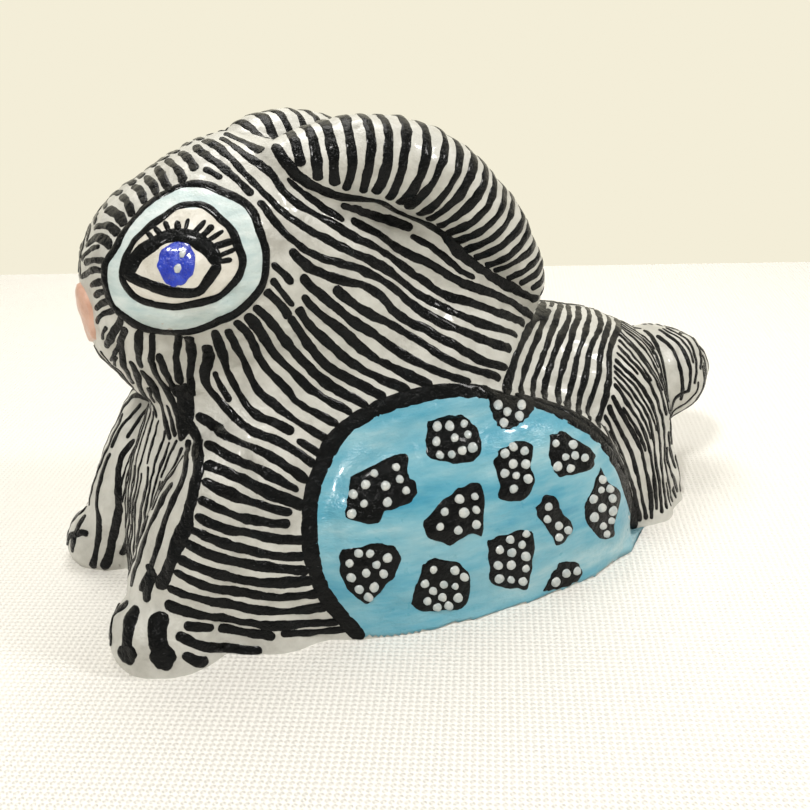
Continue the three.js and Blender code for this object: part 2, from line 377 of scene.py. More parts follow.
def laid(view, side, s, t, last=None):
    start = (view["right"] * s + view["up"] * t) * mm + view["back"] * 300 * mm
    aim = -view["back"]
    if side == right:
        start.y, aim.y = -start.y, -aim.y
    hit = skinTree.ray_cast(start, aim)
    if hit[0] is not None:
        return hit[0]
    depth = (last - start).dot(aim) if last is not None else 300 * mm
    return skinTree.find_nearest(start + aim * depth)[0]


def drawnAt(view, side, point):
    seen = Vector((point.x, -side * point.y, point.z)) / mm
    return Vector((seen.dot(view["right"]), seen.dot(view["up"])))


def inside(point, outline):
    odd = False
    for a, b in zip(outline, outline[1:] + outline[:1]):
        if (a[1] > point[1]) != (b[1] > point[1]):
            if point[0] < (b[0] - a[0]) * (point[1] - a[1]) / (b[1] - a[1]) + a[0]:
                odd = not odd
    return odd


def spline(points, steps):
    ends = [2 * Vector(points[0]) - Vector(points[1])] + [Vector(p) for p in points]
    ends.append(2 * ends[-1] - ends[-2])
    made = []
    for i in range(steps + 1):
        at = i / steps * (len(points) - 1)
        k = min(int(at), len(points) - 2)
        f = at - k
        a, b, c, d = ends[k:k + 4]
        made.append(0.5 * (2 * b + (c - a) * f + (2 * a - 5 * b + 4 * c - d) * f * f
                           + (3 * b - a - 3 * c + d) * f ** 3))
    return made


def lengthsAlong(path):
    lengths = [0.0]
    for a, b in zip(path, path[1:]):
        lengths.append(lengths[-1] + (b - a).length)
    return lengths


def evenly(path, spacing):
    lengths = lengthsAlong(path)
    count = max(4, round(lengths[-1] / spacing))
    made, k = [], 0
    for i in range(count + 1):
        reach = lengths[-1] * i / count
        while k < len(path) - 2 and lengths[k + 1] < reach:
            k += 1
        span = max(lengths[k + 1] - lengths[k], 1e-9)
        made.append(path[k].lerp(path[k + 1], min(1.0, (reach - lengths[k]) / span)))
    return made


laying = {
    "cell": 3.2 * mm,
    "samples": 90,  # points tried along each drawn line
    "touch": 1.2 * mm,  # how far a stroke's ends may reach into its neighbours
    "jump": 7.5 * mm,  # a longer gap between two samples is a step over an edge of the form
    "step": 0.8 * mm,
    "turnedAway": -0.1,  # a surface that faces further from the quarter view than this isn't seen in it
    "low": 1.6, "floor": 0.05,  # lowest point of a stripe's middle, and of any paint, in millimetres
    "overMiddle": 0.25,  # how far a stroke may pass the midline, in millimetres
    "edgeDepth": -0.14, "patchDepth": -0.12,  # edges of paint tuck under the skin by this
}
bristles = {
    "spread": 1.12,  # a loaded brush leaves a mark this much wider than it is
    # unevenness: over how many millimetres, and by how many, or as a share of the width for the swell
    "swell": (7, 0.42), "burr": (1.9, 0.34), "drift": (11, 0.7),
    "shoulder": 0.8,  # height of the paint beside its middle line, as a share
    "tipSteps": (0.1, 0.25, 0.55),  # extra steps that round off each tip
    "bluntTip": 0.04,
}
painted = {}  # where paint has gone so far, in small cells, so that a new stroke can keep its distance


def cellOf(point):
    return tuple(math.floor(c / laying["cell"]) for c in point)


def notePaint(path):
    for point in path:
        painted.setdefault(cellOf(point), []).append(point.copy())


def nearPaint(point, room):
    a, b, c = cellOf(point)
    for i in (a - 1, a, a + 1):
        for j in (b - 1, b, b + 1):
            for k in (c - 1, c, c + 1):
                if any((q - point).length < room for q in painted.get((i, j, k), ())):
                    return True
    return False


# Areas that stripes stay out of: the eye rings, the haunch patches and the nose.
def reserved(point, normal):
    side = left if point.y < 0 else right
    room = [abs(point.y), abs(point.z - noseLook["middle"] * mm)]
    if point.x < noseLook["front"] * mm and all(r < k * mm for r, k in zip(room, noseLook["clear"])):
        return True
    facing = Vector((normal.x, -side * normal.y, normal.z)).dot(quarter["back"])
    if facing < laying["turnedAway"]:
        return False
    place = drawnAt(quarter, side, point)
    return inside(place, eye["outline"]) or inside(place, haunchField)


# Splits a path over the form where it can't be painted; each run may reach a little way into its neighbours.
def freeRuns(path, shut, crowded, least):
    runs, run = [], []
    for i in range(len(path)):
        broken = i > 0 and (path[i] - path[i - 1]).length > laying["jump"]
        if (shut[i] or crowded[i] or broken) and run:
            runs.append(run)
            run = []
        if not shut[i] and not crowded[i]:
            run.append(i)
    if run:
        runs.append(run)
    made = []
    for run in runs:
        first, last = run[0], run[-1]
        if len(run) < 3 or lengthsAlong(path[first:last + 1])[-1] < least * mm:
            continue
        for way in (-1, 1):
            edge, reach = (first if way < 0 else last), 0.0
            while 0 <= edge + way < len(path) and not shut[edge + way] and reach < laying["touch"]:
                reach += (path[edge + way] - path[edge]).length
                if reach > laying["jump"]:
                    break
                edge += way
            first, last = (edge, last) if way < 0 else (first, edge)
        made.append(path[first:last + 1])
    return made


def layOut(view, side, points, least, ownSide=True, room=0.0, low=laying["low"], clear=True):
    path, last = [], None
    for p in spline(points, laying["samples"]):
        last = laid(view, side, p[0], p[1], last)
        path.append(last)
    shut = [p.z < low * mm or (ownSide and p.y * side < -laying["overMiddle"] * mm)
            or (clear and reserved(p, skinTree.find_nearest(p)[1])) for p in path]
    crowded = [bool(room) and nearPaint(p, room * mm) for p in path]
    return freeRuns(path, shut, crowded, least)


def ragged(along, seed, unevenness, wobble):
    size, amount = unevenness
    return amount * wobble * noise.noise(Vector((along / size, seed * 7.13, seed * 1.7)))


def faceOut(verts):
    faces = {f for v in verts for f in v.link_faces}
    outward = 0
    for face in faces:
        face.normal_update()
        outward += face.normal.dot(skinTree.find_nearest(face.calc_center_median())[1])
    if outward < 0:
        for face in faces:
            face.normal_flip()


# One brush stroke: a strip with a rounded back, its edges just under the form's surface.
def brushStroke(bm, path, width, seed, height=0.2, tip=1.0, wobble=1.0):
    path = evenly(path, laying["step"])
    for _ in range(2):
        path = [path[0]] + [(a + 2 * b + c) / 4 for a, b, c in zip(path, path[1:], path[2:])] + [path[-1]]
    notePaint(path)
    finer = bristles["tipSteps"]
    path = ([path[0]] + [path[0].lerp(path[1], f) for f in finer] + path[1:-1]
            + [path[-1].lerp(path[-2], f) for f in reversed(finer)] + [path[-1]])
    count = len(path) - 1
    reaches = [r / mm for r in lengthsAlong(path)]
    made = bmesh.ops.create_grid(bm, x_segments=count, y_segments=5, size=1)["verts"]
    normals = [skinTree.find_nearest(p)[1] for p in path]
    for vert in made:
        i = round((vert.co.x + 1) / 2 * count)
        across = vert.co.y
        tangent = (path[min(i + 1, count)] - path[max(i - 1, 0)]).normalized()
        sideways = normals[i].cross(tangent).normalized()
        along = reaches[i]
        half = width / 2 * bristles["spread"] * (1 + ragged(along, seed, bristles["swell"], wobble))
        half += ragged(along, seed + (3 if across > 0 else 5), bristles["burr"], wobble)
        run = width * 0.5 * tip
        for reach in (along, reaches[-1] - along):
            if reach < run:
                blunt = bristles["bluntTip"]
                half *= math.sqrt(max(0.0, 1 - (1 - reach / run) ** 2)) * (1 - blunt) + blunt
        drift = ragged(along, seed + 9, bristles["drift"], wobble)
        aside = sideways * (across * max(half, 0.05) + drift) * mm
        point, normal = skinTree.find_nearest(path[i] + aside)[:2]
        lift = height * (bristles["shoulder"] if abs(across) > 0.5 else 1.0)
        if abs(across) > 0.9:
            lift = laying["edgeDepth"]
        vert.co = point + normal * lift * mm
        vert.co.z = max(vert.co.z, laying["floor"] * mm)
    faceOut(made)


# A filled patch of paint inside a closed outline, or a dome if it is given a crown.
def paintPatch(bm, view, side, outline, seed, height, crown=0.0, rings=7, wobble=0.25, segments=48):
    loop = spline(list(outline) + [outline[0]], segments)[:-1]
    middle = sum(loop, Vector((0, 0))) / len(loop)
    made = bmesh.ops.create_grid(bm, x_segments=segments, y_segments=rings, size=1)["verts"]
    for vert in made:
        k = round((vert.co.x + 1) / 2 * segments) % segments
        reach = (vert.co.y + 1) / 2
        edge = loop[k] - middle
        turn = 2 * math.pi * k / segments
        burr = wobble * noise.noise(Vector((math.cos(turn) * 3, math.sin(turn) * 3, seed * 3.1)))
        point = middle + edge * reach * (1 + burr / max(edge.length, 0.5) * 1.5)
        start = laid(view, side, point[0], point[1])
        where, normal = skinTree.find_nearest(start)[:2]
        lift = laying["patchDepth"] if reach > 0.99 else height + crown * math.sqrt(max(0.0, 1 - reach ** 2))
        vert.co = where + normal * lift * mm
        vert.co.z = max(vert.co.z, laying["floor"] * mm)
    bmesh.ops.remove_doubles(bm, verts=made, dist=0.01 * mm)
    faceOut([v for v in made if v.is_valid])


# Strokes are laid in two coats: how many to a pitch, the shortest one in millimetres, and their share of the
# width. On the sides that are drawn straight on, only longer ones are laid.
fanning = {"steps": 24, "room": 0.76, "coats": ((1, 3.6, 1.0), (3, 3.0, 0.78)), "straightOn": 6.5}


# Lines spread evenly between drawn guides, about one pitch apart.
def fan(guides, pitch):
    even = [spline(g, fanning["steps"]) for g in guides]
    gaps = []
    for a, b in zip(even, even[1:]):
        nearest = [min((p - q).length for q in b) for p in a] + [min((p - q).length for q in a) for p in b]
        gaps.append(sum(nearest) / len(nearest))
    total = sum(gaps)
    count = max(2, round(total / pitch) + 1)
    made = []
    for i in range(count):
        reach, k = total * i / (count - 1), 0
        while k < len(gaps) - 1 and reach > gaps[k]:
            reach -= gaps[k]
            k += 1
        f = min(1.0, reach / gaps[k])
        made.append([a.lerp(b, f) for a, b in zip(even[k], even[k + 1])])
    return made


# Evenly spread strokes first, then slightly thinner ones wherever a gap is wide enough for another.
def strokeFan(bm, view, side, region, seed):
    room = region["pitch"] * region.get("room", fanning["room"])
    for finer, least, share in fanning["coats"]:
        least = least if view is quarter else fanning["straightOn"]
        for i, line in enumerate(fan(region["guides"], region["pitch"] / finer)):
            for k, path in enumerate(layOut(view, side, line, least, room=room * (share + 1) / 2)):
                brushStroke(bm, path, region["width"] * share, seed + i * 0.37 + k * 0.05 + finer)


def strokeLine(bm, view, side, points, width, seed, ownSide=True, low=laying["low"], clear=True, **more):
    runs = layOut(view, side, points, 0.5, ownSide, low=low, clear=clear)
    if runs:
        brushStroke(bm, max(runs, key=len), width, seed, **more)


def closedLine(bm, view, side, outline, width, seed, **more):
    loop = spline(list(outline) + [outline[0], outline[1]], 8 * (len(outline) + 1))
    brushStroke(bm, [laid(view, side, p[0], p[1]) for p in loop], width, seed, **more)


def roundOutline(s, t, radius, seed, wobble):
    made = []
    for k in range(10):
        turn = math.pi * k / 5
        reach = radius * (1 + wobble * noise.noise(Vector((math.cos(turn), math.sin(turn), seed))))
        made.append((s + reach * math.cos(turn), t + reach * math.sin(turn)))
    return made


eye = {
    "outline": [(-64, 59), (-63, 61), (-61, 63), (-60, 65), (-57, 69), (-54, 72), (-50, 74), (-47, 75),
                (-43, 74.5), (-40, 73), (-36, 71), (-34, 69), (-33, 66), (-32, 62), (-32, 58), (-33, 54),
                (-36, 51), (-39, 49), (-44, 47), (-48, 46), (-52, 46), (-57, 47), (-60, 49), (-63, 51.5),
                (-64, 55)],
    "outlineWidth": 2.3,
    "egg": [(-60, 57), (-59, 60), (-57, 63), (-54, 66), (-51, 68), (-48, 70), (-44, 70), (-42, 69), (-40, 67),
            (-38, 65), (-37, 62), (-36, 59), (-37, 56), (-39, 54), (-42, 52), (-46, 51), (-50, 50.5),
            (-53, 51), (-57, 52.5), (-59, 54.5)],
    "eggWidth": 2.2,
    "upperLid": [(-59.5, 57), (-58, 58.5), (-56, 61), (-53, 62.5), (-50, 64), (-46, 63.7), (-44, 62.5),
                 (-42, 61), (-40.5, 58)],
    "upperWidth": 3.9,
    "lowerLid": [(-59.5, 57.5), (-58, 56.5), (-55, 55), (-52, 53.8), (-49, 53), (-45, 53), (-43, 55),
                 (-40.5, 58.5)],
    "lowerWidth": 2.9,
    "iris": [(-48, 63), (-46, 62.3), (-44.6, 59.5), (-45.2, 56.5), (-47, 54.6), (-49, 54), (-51, 55),
             (-52.2, 57.5), (-51.8, 60.5), (-50, 62.4)],
    "glints": [(-47.2, 60.3, 0.85), (-48.2, 57.6, 1.0)],
    "lashes": [((-53, 63), (-54.5, 65)), ((-51.5, 64), (-53, 66)), ((-50, 65), (-51, 67)),
               ((-48, 65), (-48.5, 67)), ((-46.5, 65), (-46, 67.3)), ((-45, 64), (-43, 67)),
               ((-44, 63.5), (-41.5, 66)), ((-42.5, 62.5), (-39.5, 64.8)), ((-41.5, 61.5), (-37.8, 63)),
               ((-41, 59.5), (-37.3, 61)), ((-40.5, 58.5), (-38, 58.8))],
    "lashWidth": 1.5,
}
archLine = {
    "width": 4.3,
    "points": [(-14, -22.5), (-19, -17), (-24, -9), (-26, 0), (-26, 8), (-24, 16), (-18, 25), (-7, 30),
               (6, 32), (19, 30), (30, 26), (40, 19), (47, 7), (50.5, -5)],
    "outer": [(20, 31), (31, 27.4), (41.4, 20.2), (48.6, 8), (52, -5)], "outerWidth": 2.8,
}
haunchHem = [(50, -8), (45, -12), (36, -15), (29, -17.5), (15, -21), (5, -23), (-5, -25.5)]
haunchField = archLine["points"] + haunchHem
noseLook = {"height": 0.5, "crown": 0.5, "half": 5.2, "middle": 69, "tall": 6.6,
            "front": -74, "clear": (6.5, 7.5)}  # stripes stay this far from its middle, sideways and up


def paintEye(side):
    own = sideNames[side]
    seed = 800.0 + 40 * side
    for outline, name, finish, height in (("outline", "eye_ring_", "paleBlueAcrylic", 0.24),
                                          ("egg", "eye_white_", "eyeWhiteAcrylic", 0.32),
                                          ("iris", "iris_", "royalBlueAcrylic", 0.42)):
        bm = bmesh.new()
        paintPatch(bm, quarter, side, eye[outline], seed + height * 10, height=height, rings=16, segments=72)
        finishPiece(bm, name + own, finish)
    bm = bmesh.new()
    for s, t, radius in eye["glints"]:
        paintPatch(bm, quarter, side, roundOutline(s, t, radius, seed, 0.2), seed, height=0.5, crown=0.15,
                   rings=4, segments=16)
    finishPiece(bm, "iris_glints_" + own, "whiteDotAcrylic")
    bm = bmesh.new()
    closedLine(bm, quarter, side, eye["outline"], eye["outlineWidth"], seed + 1, height=0.42, wobble=0.6)
    closedLine(bm, quarter, side, eye["egg"], eye["eggWidth"], seed + 2, height=0.5, wobble=0.6)
    strokeLine(bm, quarter, side, eye["upperLid"], eye["upperWidth"], seed + 3, clear=False,
               height=0.6, wobble=0.5)
    strokeLine(bm, quarter, side, eye["lowerLid"], eye["lowerWidth"], seed + 4, clear=False,
               height=0.58, wobble=0.6)
    for i, (base, tip) in enumerate(eye["lashes"]):
        middle = ((base[0] + tip[0]) / 2, (base[1] + tip[1]) / 2)
        strokeLine(bm, quarter, side, [base, middle, tip], eye["lashWidth"], seed + 5 + i, clear=False,
                   height=0.56)
    finishPiece(bm, "eye_lines_" + own, "blackAcrylic")


spots = {
    "height": 0.4, "dotRadius": 1.12, "dotHeight": 0.43, "dotCrown": 0.55, "dotRoom": 2.35,
    "outlines": [
        (10, [(-18, 15), (-6, 20), (-5, 15), (-3, 13), (-4, 9), (-10, 7), (-13, 4), (-19, 6), (-19, 9)]),
        (12, [(-1, 26), (5, 27), (9, 26), (11, 22), (11, 18), (7, 16), (1, 17), (-2, 19)]),
        (5, [(13, 31), (24, 30), (23, 26), (20, 24), (16, 23), (14, 25)]),
        (12, [(14, 19), (18, 21), (23, 20), (22, 15), (23, 11), (19, 7), (14, 8), (14, 11), (13, 16)]),
        (11, [(26, 22), (31, 22), (38, 17), (37, 13), (29, 12), (26, 15)]),
        (9, [(-3, 5), (1, 9), (6, 12), (11, 12), (11, 1), (8, 1), (3, -1), (-2, 1)]),
        (8, [(22, 6), (25, 9), (28, 7), (29, 4), (32, 1), (31, -2), (28, -4), (26, -1), (23, 3)]),
        (15, [(39, 14), (41, 11), (45, 6), (43, -1), (43, -4), (38, -3), (34, 4), (37, 10)]),
        (13, [(-20, 0), (-13, 1), (-8, 0), (-7, -4), (-10, -8), (-15, -13), (-19, -10), (-21, -3)]),
        (12, [(-3, -4), (0, -3), (7, -6), (7, -15), (-1, -16), (-6, -14), (-5, -9)]),
        (18, [(11, 0), (16, 1), (22, 1), (22, -7), (21, -13), (18, -13), (12, -11), (11, -5)]),
        (5, [(26, -10), (29, -7), (34, -9), (33, -13), (27, -14), (24, -14)]),
    ],
}


# Dots spread by hand: each new one goes where it is furthest from the rest and from the spot's edge.
def spreadDots(outline, count, rng):
    ss, ts = [p[0] for p in outline], [p[1] for p in outline]
    edge = spline(list(outline) + [outline[0]], 60)
    chosen = []
    for _ in range(count):
        best, bestRoom = None, -1.0
        for _ in range(160):
            p = Vector((rng.uniform(min(ss), max(ss)), rng.uniform(min(ts), max(ts))))
            if not inside(p, outline):
                continue
            room = min([(p - q).length * 1.6 for q in edge] + [(p - q).length for q in chosen])
            if room > bestRoom:
                best, bestRoom = p, room
        if best is not None and bestRoom > spots["dotRoom"]:
            chosen.append(best)
    return chosen


def paintHaunch(side):
    own = sideNames[side]
    seed = 900.0 + 40 * side
    rng = random.Random(90 + side)
    bm = bmesh.new()
    paintPatch(bm, quarter, side, haunchField, seed, height=0.26, rings=44, segments=150, wobble=0.5)
    finishPiece(bm, "haunch_paint_" + own, "turquoiseAcrylic")
    bm, dots = bmesh.new(), bmesh.new()
    for i, (count, outline) in enumerate(spots["outlines"]):
        paintPatch(bm, quarter, side, outline, seed + i, height=spots["height"], rings=9, segments=56,
                   wobble=0.5)
        for k, p in enumerate(spreadDots(outline, count, rng)):
            radius = spots["dotRadius"] * rng.uniform(0.84, 1.14)
            paintPatch(dots, quarter, side, roundOutline(p[0], p[1], radius, seed + k, 0.18), seed + i + k,
                       height=spots["dotHeight"], crown=spots["dotCrown"], rings=4, segments=18, wobble=0.0)
    finishPiece(bm, "haunch_spots_" + own, "blackAcrylic")
    finishPiece(dots, "haunch_dots_" + own, "whiteDotAcrylic")
    bm = bmesh.new()
    strokeLine(bm, quarter, side, archLine["points"], archLine["width"], seed + 600, low=0.3, clear=False,
               height=0.34, wobble=0.45)
    strokeLine(bm, quarter, side, archLine["outer"], archLine["outerWidth"], seed + 601, low=0.3, clear=False,
               height=0.3, wobble=0.5)
    finishPiece(bm, "haunch_outline_" + own, "blackAcrylic")


for side in (left, right):
    paintEye(side)
    paintHaunch(side)
print("eyes and haunches painted")


def paintNose():
    bm = bmesh.new()
    middle, half, tall = noseLook["middle"], noseLook["half"], noseLook["tall"]
    outline = [(half * s, middle + tall * t) for s, t in
               ((0, -1), (0.75, -0.7), (1, 0), (0.8, 0.62), (0, 1), (-0.8, 0.62), (-1, 0), (-0.75, -0.7))]
    paintPatch(bm, front, left, outline, 5.0, height=noseLook["height"], crown=noseLook["crown"], rings=12)
    finishPiece(bm, "nose_paint", "pinkAcrylic", ("nose_pad",))


paintNose()

bodySeeds = {left: 11.0, right: 57.0}
foreleg = {
    "width": 2.2, "edgeWidth": 3.2,
    "edge": [(-52, 33), (-52, 28), (-49, 23), (-48, 18), (-49, 14), (-50, 10), (-52, 5), (-54, 0), (-56, -4),
             (-58, -6)],
    "lines": [
        [(-52, 24), (-51, 19), (-52, 15), (-54, 11), (-56, 6), (-58, 1), (-60, -4), (-62, -7)],
        [(-54, 15), (-55.2, 13.8), (-57.5, 10.2), (-59.8, 6.1), (-61.7, 2), (-63.6, -3), (-64.7, -6.6)],
    ],
    "claws": [
        (1.9, [(-67.6, -9.5), (-68.6, -12.5), (-68.8, -15.5), (-68.8, -18.5)]),
        (3.5, [(-63.2, -10), (-64, -13.5), (-64.4, -17), (-64.8, -21)]),
        (4.5, [(-57.6, -11), (-57.8, -15), (-57, -19), (-57, -21.5)]),
        (2.3, [(-54.3, -15.8), (-49.5, -18.9), (-42.6, -20.8), (-37.6, -21.2)]),
        (2.5, [(-53, -19.7), (-50.8, -21.6), (-48.6, -22.4)]),
    ],
    "pads": [(-64.7, -19.6, 2.5), (-57, -20.4, 2.9)],
    "innerLines": [
        (2.0, [(-76, 21), (-78, 17), (-80, 10), (-80, 5), (-81, -1), (-83, -7)]),
        (2.2, [(-69, 24), (-73, 20), (-74, 15), (-74, 8), (-76, 2), (-78, -3), (-80.5, -8)]),
        (1.6, [(-67, 22), (-69, 17), (-70, 12), (-71, 6), (-73, 0), (-75, -4)]),
        (2.9, [(-81.6, 16), (-83.6, 13), (-84.6, 10)]),
        (3.0, [(-84.6, 6), (-85.6, 4), (-86.6, 2), (-88.4, -3)]),
    ],
}


def paintLegs(side):
    seed = bodySeeds[side]
    bm = bmesh.new()
    strokeLine(bm, quarter, side, foreleg["edge"], foreleg["edgeWidth"], seed + 400, height=0.26)
    for i, line in enumerate(foreleg["lines"]):
        strokeLine(bm, quarter, side, line, foreleg["width"], seed + 401 + i)
    for i, (width, line) in enumerate(foreleg["claws"]):
        strokeLine(bm, quarter, side, line, width, seed + 405 + i, low=0.3, height=0.35, wobble=0.8)
    for s, t, radius in foreleg["pads"]:
        paintPatch(bm, quarter, side, roundOutline(s, t, radius, seed, 0.3), seed, height=0.36,
                   rings=6, segments=24)
    finishPiece(bm, "leg_stripes_" + sideNames[side], "blackAcrylic")
    bm = bmesh.new()
    for i, (width, line) in enumerate(foreleg["innerLines"]):
        strokeLine(bm, quarter, side, line, width, seed + 420 + i, ownSide=False, low=0.5)
    finishPiece(bm, "leg_inner_stripes_" + sideNames[-side], "blackAcrylic")


for side in (left, right):
    paintLegs(side)
print("legs striped")

earLook = {
    "pitch": 3.35, "width": 2.3, "reach": 15 * mm, "skew": 0.1, "room": 2.2 * mm, "shortest": 4.0, "tip": 0.6,
    "sweep": range(-80, 236, 4),  # degrees round the ear, from below its outer side, over it and down inside
    "seeds": {left: 700.0, right: 760.0},
    "axis": {left: [(-35, -12, 95), (-27, -13, 96), (-10, -15, 93), (9, -15, 78), (22, -13, 58)],
             right: [(-38, 12, 95.5), (-31, 13, 96), (-14, 15, 90), (7, 15, 75), (21, 13, 56)]},
    # the line where the ear meets the body; "under" is how far above it the hoops stop
    "foot": [(-34, 100), (-30, 83), (-26, 77.5), (-21, 74.5), (-16, 73), (-10, 72.5), (-5, 71), (3, 67.5),
             (9, 62), (16, 58), (21, 55.5), (28, 53.5), (33, 55)],
    "footWidth": 2.5, "under": 0.7,
}


def heightAt(line, s):
    for a, b in zip(line, line[1:]):
        if s < b[0]:
            return a[1] + (b[1] - a[1]) * max(0.0, (s - a[0]) / (b[0] - a[0]))
    return line[-1][1]


# Hoops of paint: from points on the ear's middle line, rays go out all round to find its skin.
def stripeEar(side):
    axis = evenly([p * mm for p in spline(earLook["axis"][side], 80)], earLook["pitch"] * mm)
    bm = bmesh.new()
    seed = earLook["seeds"][side]
    strokeLine(bm, quarter, side, earLook["foot"][1:], earLook["footWidth"], seed + 50, height=0.26)
    for i, centre in enumerate(axis):
        tangent = (axis[min(i + 2, len(axis) - 1)] - axis[max(i - 2, 0)]).normalized()
        outward = (Vector((0, side, 0)) - tangent * tangent.y * side).normalized()
        upward = outward.cross(tangent)
        if upward.z < 0:
            upward = -upward
        path, shut, crowded = [], [], []
        for step in earLook["sweep"]:
            turn = math.radians(step)
            lean = tangent * earLook["skew"] * math.sin(turn)
            hit = skinTree.ray_cast(centre, outward * math.cos(turn) + upward * math.sin(turn) + lean)
            if hit[0] is None:
                continue
            place = drawnAt(quarter, side, hit[0])
            under = step < 90 and place.y < heightAt(earLook["foot"], place.x) + earLook["under"]
            path.append(hit[0])
            shut.append(under or hit[3] > earLook["reach"])
            crowded.append(not under and step >= 0 and nearPaint(hit[0], earLook["room"]))
        for run in freeRuns(path, shut, crowded, earLook["shortest"]):
            brushStroke(bm, run, earLook["width"], seed + i * 0.41, tip=earLook["tip"])
    finishPiece(bm, "ear_stripes_" + sideNames[side], "blackAcrylic")


for side in (left, right):
    stripeEar(side)
print("ears striped")

torso = {
    "pitch": 3.05, "width": 2.25, "room": 0.84,
    "guides": [
        [(-31, 82), (-26, 76), (-20, 72.5), (-14, 71), (-7, 69.5), (-2, 68), (4, 64.5), (10, 59.5),
         (17, 56.5), (28, 52)],
        [(-40, 88), (-34, 84), (-29, 80), (-25, 76), (-21, 73), (-14, 69), (-8, 66), (-4, 63), (3, 60),
         (9, 57), (15, 55), (23, 52), (28, 50)],
        [(-45, 89), (-39, 84), (-35, 80), (-31, 76), (-29, 73), (-25, 70), (-19, 67), (-13, 64), (-8, 61),
         (-3, 58), (2, 54), (8, 52), (15, 50), (22, 48), (27, 47)],
        [(-48, 87), (-44, 83), (-39, 78), (-36, 75), (-32, 71), (-29, 67), (-24, 63), (-19, 61), (-13, 59),
         (-7, 56), (-3, 53), (3, 49), (9, 46), (17, 44), (24, 42)],
        [(-44, 79), (-39, 75), (-34, 71), (-31, 68), (-29, 64), (-25, 59), (-20, 57), (-14, 56), (-9, 54),
         (-5, 49), (1, 46), (7, 43), (14, 39), (21, 37)],
        [(-33, 66), (-29, 63), (-26, 60), (-23, 57), (-19, 54), (-13, 49), (-7, 46), (-1, 42), (8, 37),
         (19, 34)],
        [(-33, 60), (-29, 57), (-26, 53), (-23, 49), (-18, 45), (-13, 40), (-8, 37), (2, 32.5)],
        [(-34, 55), (-31, 52), (-28, 48), (-26, 44), (-22, 39), (-16, 35), (-8, 31)],
        [(-37, 51), (-34, 48), (-31, 43), (-28, 39), (-23, 34), (-14, 28)],
        [(-40, 49), (-37, 45), (-35, 40), (-31, 35), (-27, 30), (-18, 25)],
    ],
}
breast = {
    "pitch": 3.1, "width": 2.2, "room": 0.82,
    "guides": [
        [(-41, 50), (-40, 44), (-38, 39), (-36, 34), (-32, 30), (-22, 22)],
        [(-44, 49), (-43, 42), (-43, 38), (-41, 34), (-37, 29), (-30, 25), (-22, 19)],
        [(-47, 48), (-46, 42), (-48, 37), (-47, 33), (-43, 29), (-38, 25), (-32, 22), (-24, 16)],
        [(-48, 48), (-49, 42), (-50, 37), (-50, 33), (-47, 28), (-41, 24), (-33, 19), (-25, 13)],
    ],
}
shoulder = {
    "pitch": 3.2, "width": 2.3, "room": 0.82,
    "guides": [
        [(-50, 29), (-41, 24), (-33, 19), (-25, 13)],
        [(-52, 21), (-42, 16), (-35, 12), (-26, 8)],
        [(-52, 12), (-44, 8), (-36, 5), (-26, 3)],
        [(-55, 2), (-45, -3), (-37, -6), (-25, -7)],
        [(-57, -10.7), (-51.5, -12.7), (-44, -15.4), (-36.3, -16.7), (-28.7, -17.3), (-19, -17.6)],
        [(-45, -20), (-38, -20.6), (-31, -20.6), (-24, -20.4), (-17, -20.2)],
    ],
}
throat = {
    "pitch": 2.6, "width": 1.8,
    "guides": [
        [(-60, 51), (-64, 47), (-67, 44)],
        [(-58, 50), (-61, 44), (-62, 41), (-61, 38), (-61, 33), (-59, 27)],
        [(-56, 49), (-57, 43), (-58, 40), (-57, 36), (-55, 31), (-54, 26), (-53, 21)],
        [(-53, 48), (-55, 43), (-55, 40), (-54, 37), (-53, 33)],
        [(-50, 48), (-52, 42), (-52, 38), (-52, 33)],
    ],
    "patch": [(-54, 36), (-51, 36), (-50, 31), (-51, 26), (-53, 24), (-54, 29)],
}
brow = {
    "pitch": 2.9, "width": 2.05,
    "guides": [
        [(-45, 87), (-41, 81), (-38, 77), (-36, 73)],
        [(-51, 86), (-47, 81), (-44, 77), (-43, 73)],
        [(-54, 82), (-51, 79), (-48, 73)],
        [(-59, 79), (-55, 75), (-53, 69)],
        [(-62, 76), (-59, 73), (-57, 67)],
        [(-66, 71), (-62, 69), (-59, 65)],
        [(-70, 65), (-66, 66), (-61, 62)],
    ],
}
cheek = {
    "pitch": 2.3, "width": 1.45,
    "guides": [
        [(-71, 62), (-67, 64), (-61, 63)],
        [(-73, 61), (-68, 61), (-62, 60)],
        [(-71, 57), (-67, 58), (-62, 57)],
        [(-70, 53), (-67, 55), (-61, 55)],
        [(-70, 50), (-67, 52), (-60, 53)],
        [(-69, 47), (-66, 50), (-59, 51)],
        [(-68, 43), (-64, 46), (-58, 50)],
        [(-66, 40), (-62, 44), (-56, 48)],
    ],
}
hip = {
    "pitch": 2.8, "width": 1.9, "edgeWidths": (2.3, 2.0),
    "guides": [
        [(33, 56), (24, 45), (20, 37), (18, 31)],
        [(41, 56), (36, 45), (32, 37), (29, 28)],
        [(51, 55), (52, 50), (47, 42), (45, 34), (42, 26), (40, 23)],
    ],
}
rump = {
    "pitch": 2.2, "width": 1.5,
    "guides": [
        [(52, 53), (61, 47), (63, 39), (64, 30), (63, 23)],
        [(50, 45), (56, 37), (60, 29), (62, 21), (62, 10), (66, 2)],
        [(47, 38), (53, 32), (58, 23), (59, 11), (60, 0)],
        [(46, 31), (50, 24), (54, 16), (56, 6), (57, -2)],
        [(42, 23), (44, 17), (48, 7), (52, -3)],
    ],
}
tail = {
    "pitch": 2.4, "width": 1.5,
    "guides": [
        [(62, 47), (67, 41), (69, 32), (69, 28)],
        [(67, 48), (73, 43), (73, 32)],
        [(72, 49), (76, 42), (75, 36)],
    ],
}
